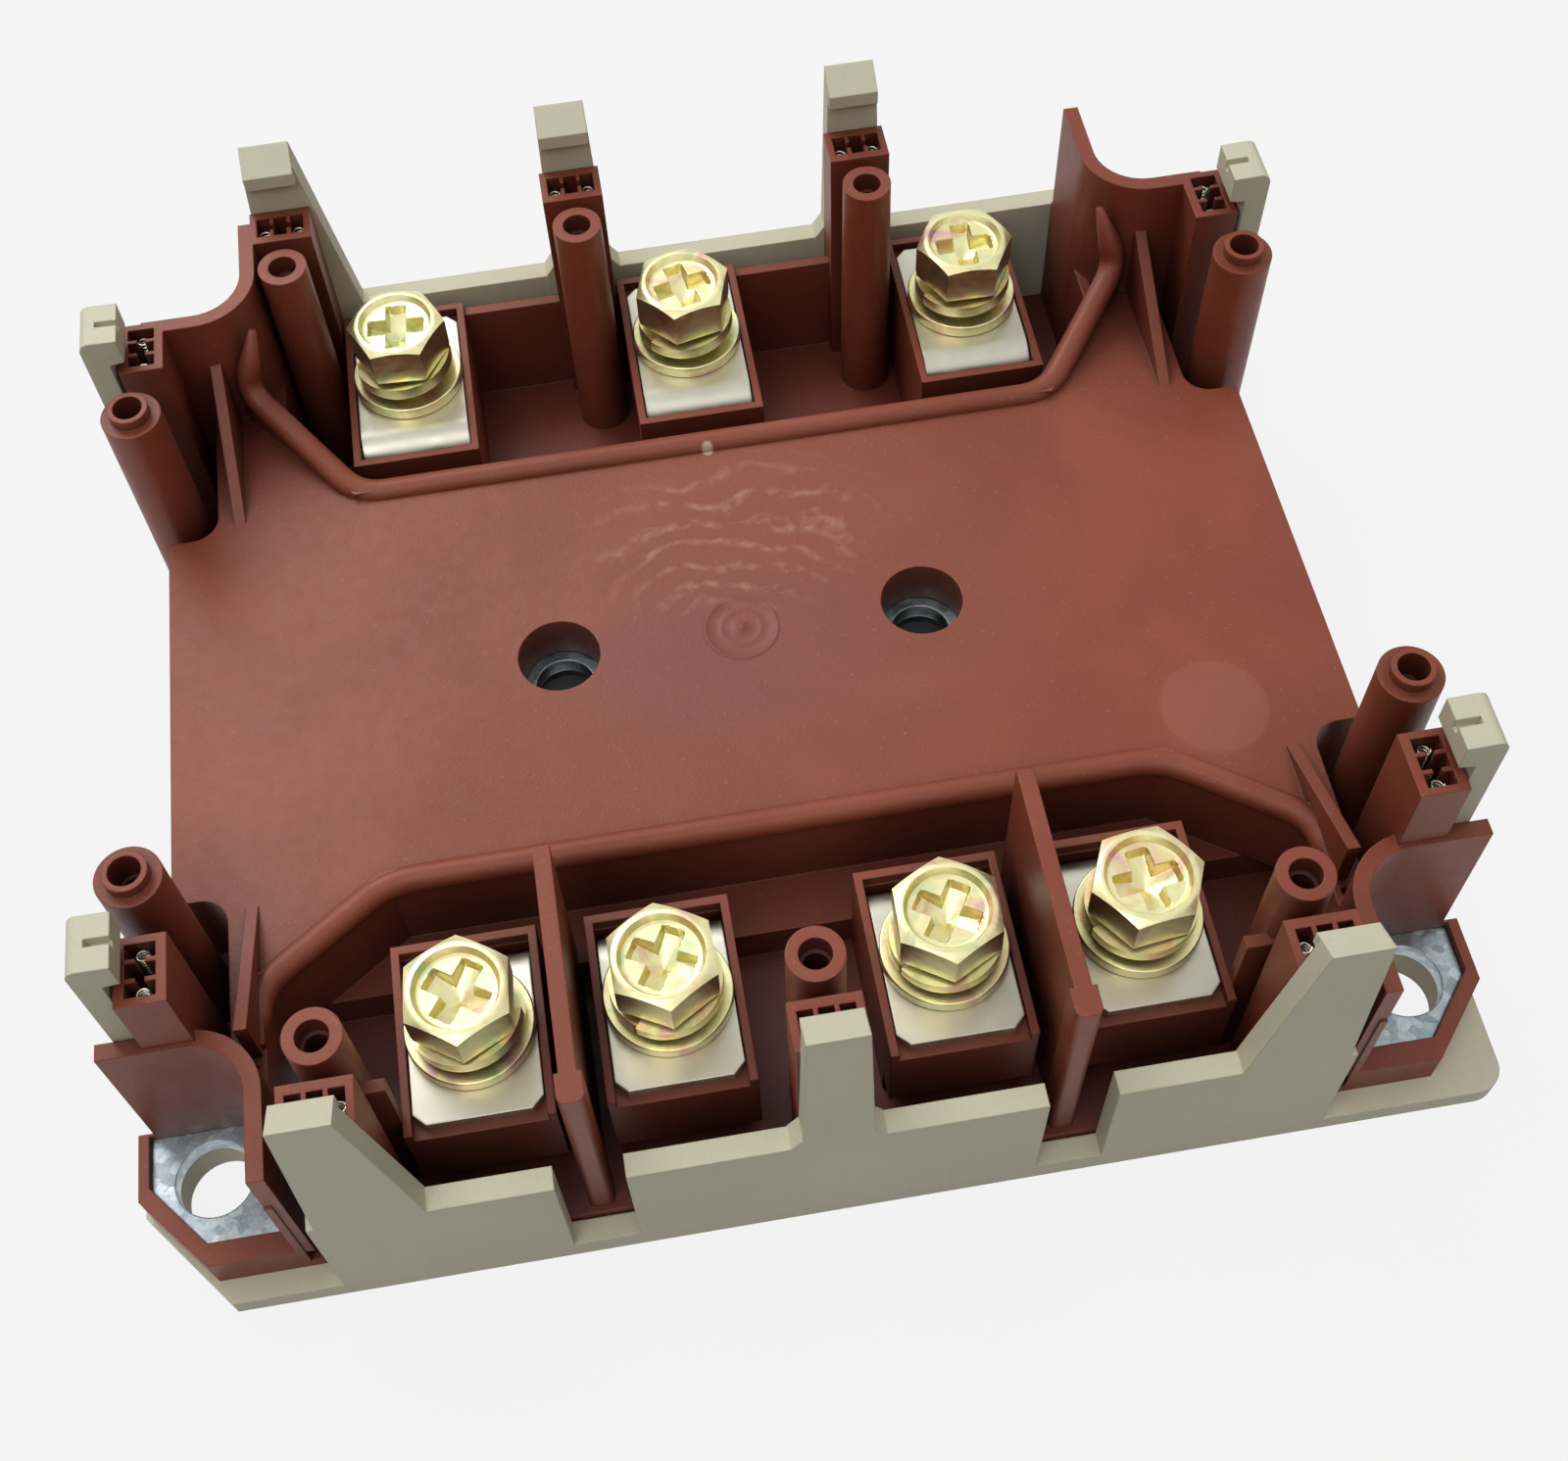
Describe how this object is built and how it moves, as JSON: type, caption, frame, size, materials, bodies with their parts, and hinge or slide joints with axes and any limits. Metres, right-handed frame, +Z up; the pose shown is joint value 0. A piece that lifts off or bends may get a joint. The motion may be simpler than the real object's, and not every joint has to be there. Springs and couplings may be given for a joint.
{
  "type": "igbt module",
  "caption": "Flat power semiconductor module: brown moulded housing on a beige tray, screw terminals front and back, posts and snap arms for a driver board.",
  "frame": {"origin": "middle of the flat underside, at the module's centre", "axes": "+Z up out of the lid, +X along the long side to the right, +Y from the four DC terminals to the three AC terminals"},
  "size_m": [0.141, 0.119, 0.0447],
  "materials": {
    "housing": "matte brown moulded thermoplastic with a faint sheen",
    "tray": "beige glass-filled moulded thermoplastic",
    "steel": "galvanised sheet steel with spangle",
    "foam": "closed-cell silicone foam",
    "bridge": "black glass-filled thermoplastic",
    "tinned_copper": "tin-plated copper, rolled",
    "film": "amber insulating film",
    "ceramic": "white alumina ceramic with bonded copper",
    "silicon": "metallised silicon",
    "chromate": "yellow chromated zinc plating with iridescence",
    "spring_wire": "silver-plated spring wire",
    "sensor": "glass-bodied thermistor"
  },
  "bodies": {
    "root": {"base_tray": "tray", "busbar_ac_u": "tinned_copper", "busbar_ac_v": "tinned_copper", "busbar_ac_w": "tinned_copper", "busbar_insulation": "film", "busbar_minus": "tinned_copper", "busbar_plus": "tinned_copper", "case_cover": "housing", "contact_springs": "spring_wire", "diode_chips": "silicon", "igbt_chips": "silicon", "plain_washer_1": "chromate", "plain_washer_2": "chromate", "plain_washer_3": "chromate", "plain_washer_4": "chromate", "plain_washer_5": "chromate", "plain_washer_6": "chromate", "plain_washer_7": "chromate", "pressure_bridge": "bridge", "pressure_pad": "foam", "pressure_plate": "steel", "spring_washer_1": "chromate", "spring_washer_2": "chromate", "spring_washer_3": "chromate", "spring_washer_4": "chromate", "spring_washer_5": "chromate", "spring_washer_6": "chromate", "spring_washer_7": "chromate", "substrate_u": "ceramic", "substrate_v": "ceramic", "substrate_w": "ceramic", "temperature_sensor": "sensor", "terminal_nut_1": "chromate", "terminal_nut_2": "chromate", "terminal_nut_3": "chromate", "terminal_nut_4": "chromate", "terminal_nut_5": "chromate", "terminal_nut_6": "chromate", "terminal_nut_7": "chromate", "terminal_screw_1": "chromate", "terminal_screw_2": "chromate", "terminal_screw_3": "chromate", "terminal_screw_4": "chromate", "terminal_screw_5": "chromate", "terminal_screw_6": "chromate", "terminal_screw_7": "chromate"}
  },
  "joints": []
}
